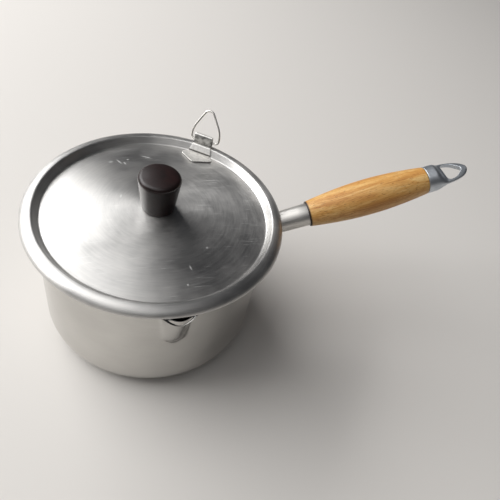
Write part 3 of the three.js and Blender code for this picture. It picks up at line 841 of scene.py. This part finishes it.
# Phenolic resin, moulded: almost black brown with a clear gloss, faint reddish clouds and fine marks from
# use. Hands have rubbed the crown dull.
phenolic, tree, shader, coords = new_material("moulded_phenolic")
clouds = add(
    tree, "ShaderNodeTexNoise", {"Vector": coords, "Scale": 1 / (8 * MM), "Detail": 4}
).outputs["Fac"]
marks = add(
    tree, "ShaderNodeTexNoise", {"Vector": coords, "Scale": 1 / (0.7 * MM), "Detail": 5}
).outputs["Fac"]
tree.links.new(
    ramp(tree, clouds, [(0.35, paint("#150a09")), (0.7, paint("#251110"))]), shader.inputs["Base Color"]
)
height = add(tree, "ShaderNodeSeparateXYZ", {"Vector": coords}).outputs["Z"]
knob_rim = (lid_height + knob_bottom + knob_height - knob_crown) * MM
rub_depth = 4 * MM
rub_dulling = 0.28
rubbed = add(
    tree, "ShaderNodeMapRange",
    {"Value": height, "From Min": knob_rim - rub_depth, "From Max": knob_rim, "To Max": rub_dulling},
).outputs["Result"]
gloss = ramp(tree, marks, [(0.35, grey(0.08)), (0.7, grey(0.16))])
gloss = add(tree, "ShaderNodeMath", {0: gloss, 1: rubbed}, operation="ADD").outputs["Value"]
tree.links.new(gloss, shader.inputs["Roughness"])
shader.inputs["IOR"].default_value = 1.5
bump = add(tree, "ShaderNodeBump", {"Height": marks, "Strength": 0.02, "Distance": 0.05 * MM})
tree.links.new(bump.outputs["Normal"], shader.inputs["Normal"])
knob.data.materials.append(phenolic)
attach(knob, "lid")
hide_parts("knob")

# Knob insert: a turned brass bush with an inner thread, moulded into the knob. Nothing of it shows, so the
# frame's own bush stays and gets turned brass.
brass, tree, shader, coords = new_material("turned_brass")
lines = turned_grain(tree, coords, line=0.5, spread=2)
shader.inputs["Metallic"].default_value = 1
tree.links.new(
    ramp(tree, lines, [(0.3, paint("#a9853f")), (0.7, paint("#c9a862"))]), shader.inputs["Base Color"]
)
tree.links.new(ramp(tree, lines, [(0.3, grey(0.28)), (0.7, grey(0.42))]), shader.inputs["Roughness"])
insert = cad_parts["knob_insert"]
insert.data.materials.clear()
insert.data.materials.append(brass)

# Knob screw: a slotted pan-head screw from under the lid into the insert. It is turned steel, with a
# rounded head and a milled slot.
screw_gap = 0.3
washer_thickness = 0.8
washer_bottom = dome_height(knob_seat_radius) - lid_sheet - screw_gap - washer_thickness
head_radius = 3.8
head_edge = 1.2
head_top = washer_bottom - screw_gap
head_bottom = head_top - 2.4
shank_radius = 2
screw_end = knob_bottom + 9
slot = Vector((11, 1, 2.2))
screw = turned("screw_body", rounded([
    (0, head_bottom),
    (head_radius, head_bottom, head_edge),
    (head_radius, head_top),
    (shank_radius, head_top),
    (shank_radius, screw_end),
    (0, screw_end),
]), steps=64)
bpy.ops.object.select_all(action="DESELECT")
bpy.ops.mesh.primitive_cube_add(size=1, location=(0, 0, head_bottom * MM), scale=slot * MM)
combine(screw, bpy.context.object, "DIFFERENCE")
settle(screw, lid_frame)
soften(screw, width=0.12, angle=40, count=2)
screw.data.materials.append(plated_steel)
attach(screw, "lid")
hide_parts("knob_screw")

# Knob washer: a stamped steel ring that spreads the screw's pull over the thin lid. Its edges are rounded
# by the stamping.
washer_radius = 5
washer_middle = 3.5
washer_edge = 0.2
washer_top = washer_bottom + washer_thickness
washer = turned("washer_ring", rounded([
    (washer_middle, washer_bottom),
    (washer_radius, washer_bottom, washer_edge),
    (washer_radius, washer_top, washer_edge),
    (screw_hole, washer_top, washer_edge),
    (screw_hole, washer_bottom, washer_edge),
    (washer_middle, washer_bottom),
]), steps=64)
settle(washer, lid_frame)
washer.data.materials.append(plated_steel)
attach(washer, "lid")
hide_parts("knob_washer")


# Clip: a strip of bright sheet steel, stamped and folded by hand. Its arrowhead foot is welded to the lid,
# its neck climbs over the rim, and its end folds back into a flat loop that holds the ring.
clip_sheet = 0.6
clip_tab_radius = 86.05
clip_curl = 1.75
clip_gap = 0.3
clip_over = lid_band_height + clip_gap
clip_fold = lid_band_height + 9.3 - clip_curl
clip_foot_bend = 0.7
clip_neck_bend = 1.2
clip_tip_lift = 1.1
clip_end_lift = 0.9
clip_tip = 61.4
clip_crease = 77.8
clip_shoulder_radius = 70.8
clip_shoulder_half = 13.2
clip_neck_half = 7.3
clip_corner = 2.2
clip_azimuth = radians(57)
rim_frame = lid_frame @ Matrix.Rotation(clip_azimuth, 4, "Z")

clip_plan = [point for point in rounded([
    (clip_shoulder_radius, -clip_shoulder_half),
    (clip_tip, 0, clip_corner),
    (clip_shoulder_radius, clip_shoulder_half, clip_corner),
    (lid_mouth_radius, clip_neck_half, clip_corner),
    (clip_tab_radius, clip_neck_half),
]) if point.y > 0.1]
clip_foot = rounded([
    (clip_tip - 1, dome_height(clip_tip) + clip_tip_lift),
    (clip_crease, dome_height(clip_crease) + clip_gap, clip_foot_bend),
    (lid_mouth_radius - 0.8, clip_over, clip_foot_bend),
    (clip_tab_radius, clip_over),
])
clip_loop = rounded([
    (lid_mouth_radius + 1.5, clip_over),
    (clip_tab_radius, clip_over, clip_neck_bend),
    (clip_tab_radius, clip_fold - 3),
    (clip_tab_radius, clip_fold - 0.3),
])[1:]
curl_centre = Vector((clip_tab_radius - clip_curl, clip_fold))
clip_loop += [
    curl_centre + clip_curl * Vector((cos(pi * k / 16), sin(pi * k / 16))) for k in range(17)
]
clip_loop += [
    Vector((clip_tab_radius - 2 * clip_curl, clip_over + clip_end_lift + rise)) for rise in (4.5, 2, 0)
]


def value_at(path, x):
    """The second value of a path at its first, between the two points beside it."""
    for here, there in zip(path, path[1:]):
        if x <= there.x:
            return here.y + (there.y - here.y) * (x - here.x) / (there.x - here.x)
    return path[-1].y


foot_radii = sorted({
    *[round(point.x, 4) for point in clip_plan[:-1]],
    *[round(point.x, 4) for point in clip_foot[1:-1]],
    *[clip_shoulder_radius - 7 + k for k in range(14)],
})
clip_rows = [
    (radius, value_at(clip_foot, radius), value_at(clip_plan, radius))
    for radius in foot_radii if clip_plan[0].x <= radius < clip_loop[0].x
]
clip_rows += [(point.x, point.y, clip_neck_half) for point in clip_loop]

columns = 16
first_radius, first_height, first_half = clip_rows[0]
clip = draw("clip_strip", [
    Vector((first_radius, first_half * (2 * k / columns - 1), first_height)) for k in range(columns + 1)
])
bpy.ops.mesh.select_all(action="SELECT")
for (radius, height, half), (next_radius, next_height, next_half) in zip(clip_rows, clip_rows[1:]):
    bpy.ops.mesh.extrude_edges_move(
        TRANSFORM_OT_translate={"value": ((next_radius - radius) * MM, 0, (next_height - height) * MM)}
    )
    bpy.ops.transform.resize(value=(1, next_half / half, 1), center_override=(0, 0, 0))
bpy.ops.mesh.select_all(action="SELECT")
bpy.ops.mesh.normals_make_consistent(inside=False)
bpy.ops.object.mode_set(mode="OBJECT")
# The sheet's upper side faces up on the foot, and the thickness goes on that side.
if clip.data.polygons[0].normal.z < 0:
    clip.data.flip_normals()
thickness = clip.modifiers.new("thickness", "SOLIDIFY")
thickness.thickness = clip_sheet * MM
thickness.offset = 1
thickness.use_even_offset = True
bpy.ops.object.modifier_apply(modifier=thickness.name)
settle(clip, rim_frame)
soften(clip, width=0.14, angle=50, count=2)

# Bright sheet steel, tinned: soft and pale, with cloudy dull patches, and a painted shade line in the
# crease of its foot.
clip_steel, tree, shader, coords = new_material("bright_sheet_steel")
patches = add(
    tree, "ShaderNodeTexNoise", {"Vector": coords, "Scale": 1 / (3 * MM), "Detail": 4}
).outputs["Fac"]
outwards = add(
    tree, "ShaderNodeMapping", {"Vector": coords, "Rotation": (0, 0, -clip_azimuth)}
).outputs["Vector"]
place = add(tree, "ShaderNodeSeparateXYZ", {"Vector": outwards}).outputs
# Painted shade: a dark line along the crease between neck and foot, full within 0.1 mm of it and fading out
# by 0.5 mm.
from_crease = add(
    tree, "ShaderNodeMath", {0: place["X"], 1: clip_crease * MM}, operation="SUBTRACT"
).outputs["Value"]
from_crease = add(tree, "ShaderNodeMath", {0: from_crease}, operation="ABSOLUTE").outputs["Value"]
outside_painted_shade = add(
    tree, "ShaderNodeMapRange", {"Value": from_crease, "From Min": 0.1 * MM, "From Max": 0.5 * MM}
).outputs["Result"]
tinned = ramp(tree, patches, [(0.3, paint("#dad8d4")), (0.6, paint("#f0eeea"))])
# Painted shade: the inner face of the fold, under the curl, is darkened and mottled.
fold_painted_shade = ramp(tree, patches, [(0.35, paint("#6a6967")), (0.65, paint("#b4b3b0"))])
face_out = (clip_tab_radius - 2 * clip_curl) * MM
on_face = add(
    tree, "ShaderNodeMapRange",
    {"Value": place["X"], "From Min": face_out + 0.9 * MM, "From Max": face_out + 0.2 * MM},
).outputs["Result"]
face_foot = (lid_height + clip_over + clip_sheet) * MM
above = add(
    tree, "ShaderNodeMapRange",
    {"Value": place["Z"], "From Min": face_foot + 0.1 * MM, "From Max": face_foot + 0.4 * MM},
).outputs["Result"]
fold_shade_share = add(tree, "ShaderNodeMath", {0: on_face, 1: above}, operation="MULTIPLY").outputs["Value"]
clip_colour = add(
    tree, "ShaderNodeMix", {0: fold_shade_share, 6: tinned, 7: fold_painted_shade}, data_type="RGBA"
).outputs[2]
clip_colour = add(
    tree, "ShaderNodeMix", {0: outside_painted_shade, 6: paint("#504d48"), 7: clip_colour}, data_type="RGBA"
).outputs[2]
shader.inputs["Metallic"].default_value = 1
tree.links.new(clip_colour, shader.inputs["Base Color"])
tree.links.new(ramp(tree, patches, [(0.3, grey(0.62)), (0.7, grey(0.5))]), shader.inputs["Roughness"])
bump = add(tree, "ShaderNodeBump", {"Height": patches, "Strength": 0.12, "Distance": 0.2 * MM})
tree.links.new(bump.outputs["Normal"], shader.inputs["Normal"])
clip.data.materials.append(clip_steel)
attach(clip, "lid")
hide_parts("lid_clip")


# Hanging ring: steel wire bent to a rounded triangle. Its two ends meet in the clip's loop, where it
# swings, and it stands a little askew.
ring_wire = 0.85
ring_half = 11.6
ring_height = 24.2
ring_shoulder = 8.6
ring_bow = 20
ring_apex = 4.3
ring_corner = 3
ring_end = 0.3
ring_slide = -0.9
ring_rise = 3.5
ring_roll = radians(-5)
ring_lean = radians(24)
ring_below = ring_height - ring_apex - ring_shoulder
ring_slant = atan2(ring_half, ring_below) - asin(ring_apex / hypot(ring_half, ring_below))
ring_peak = ring_shoulder + ring_half / tan(ring_slant)
ring_route = rounded([
    (ring_end, 0),
    (ring_half, 0, ring_corner),
    (ring_half, ring_shoulder, ring_bow),
    (0, ring_peak, ring_apex),
    (-ring_half, ring_shoulder, ring_bow),
    (-ring_half, 0, ring_corner),
    (-ring_end, 0),
], step=radians(2))
ring = draw("ring_wire", [Vector((0, point.x, point.y)) for point in ring_route])
bpy.ops.object.mode_set(mode="OBJECT")
bpy.ops.object.convert(target="CURVE")
ring.data.bevel_depth = ring_wire * MM
ring.data.bevel_resolution = 6
ring.data.use_fill_caps = True
bpy.ops.object.convert(target="MESH")
ring = bpy.context.object
ring_seat = Vector((clip_tab_radius - clip_curl, ring_slide, lid_band_height + ring_rise))
ring_turn = Matrix.Rotation(ring_roll, 4, "X") @ Matrix.Rotation(ring_lean, 4, "Y")
settle(ring, rim_frame @ Matrix.Translation(ring_seat * MM) @ ring_turn)
bpy.ops.object.shade_smooth()

# Drawn steel wire, bright: smooth along the wire, with a few dull spots where it rubs.
wire_steel, tree, shader, coords = new_material("bright_drawn_wire")
spots = add(
    tree, "ShaderNodeTexNoise", {"Vector": coords, "Scale": 1 / (2.5 * MM), "Detail": 4}
).outputs["Fac"]
shader.inputs["Metallic"].default_value = 1
tree.links.new(
    ramp(tree, spots, [(0.3, paint("#dedbd5")), (0.6, paint("#f4f1eb"))]), shader.inputs["Base Color"]
)
tree.links.new(ramp(tree, spots, [(0.3, grey(0.5)), (0.65, grey(0.38))]), shader.inputs["Roughness"])
ring.data.materials.append(wire_steel)
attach(ring, "ring")
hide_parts("hanging_ring")


# Floor and light: a plain pale floor, a wide soft lamp from the back left like a window, a weaker one above
# it like a lit ceiling, a faint one from the front left like the rest of a room, and a dark grey sky.
bpy.ops.object.select_all(action="DESELECT")
bpy.ops.mesh.primitive_plane_add(size=6)
floor = bpy.context.object
floor.name = "floor"
floor_paint, tree, shader, coords = new_material("matt_pale_floor")
shader.inputs["Base Color"].default_value = paint("#d9d5d0")
shader.inputs["Roughness"].default_value = 0.9
floor.data.materials.append(floor_paint)


def soft_lamp(name, azimuth, elevation, distance, size, power):
    """An area lamp that looks at the pan from a direction in degrees."""
    light = bpy.data.lights.new(name, "AREA")
    light.shape = "RECTANGLE"
    light.size, light.size_y = size
    light.energy = power
    lamp = bpy.data.objects.new(name, light)
    turn = (radians(azimuth), radians(elevation))
    towards = Vector((cos(turn[0]) * cos(turn[1]), sin(turn[0]) * cos(turn[1]), sin(turn[1])))
    lamp.location = towards * distance
    lamp.rotation_euler = towards.to_track_quat("Z", "Y").to_euler()
    bpy.context.scene.collection.objects.link(lamp)


soft_lamp("window", azimuth=141, elevation=36, distance=2.2, size=(2.9, 1.2), power=61)
soft_lamp("ceiling", azimuth=160, elevation=63, distance=2, size=(1.5, 1.5), power=16)
soft_lamp("room", azimuth=236, elevation=62, distance=2.2, size=(1.8, 1.8), power=8)
sky = bpy.data.worlds.new("grey_sky")
sky.use_nodes = True
sky.node_tree.nodes["Background"].inputs["Color"].default_value = paint("#323336")
sky.node_tree.nodes["Background"].inputs["Strength"].default_value = 1
bpy.context.scene.world = sky
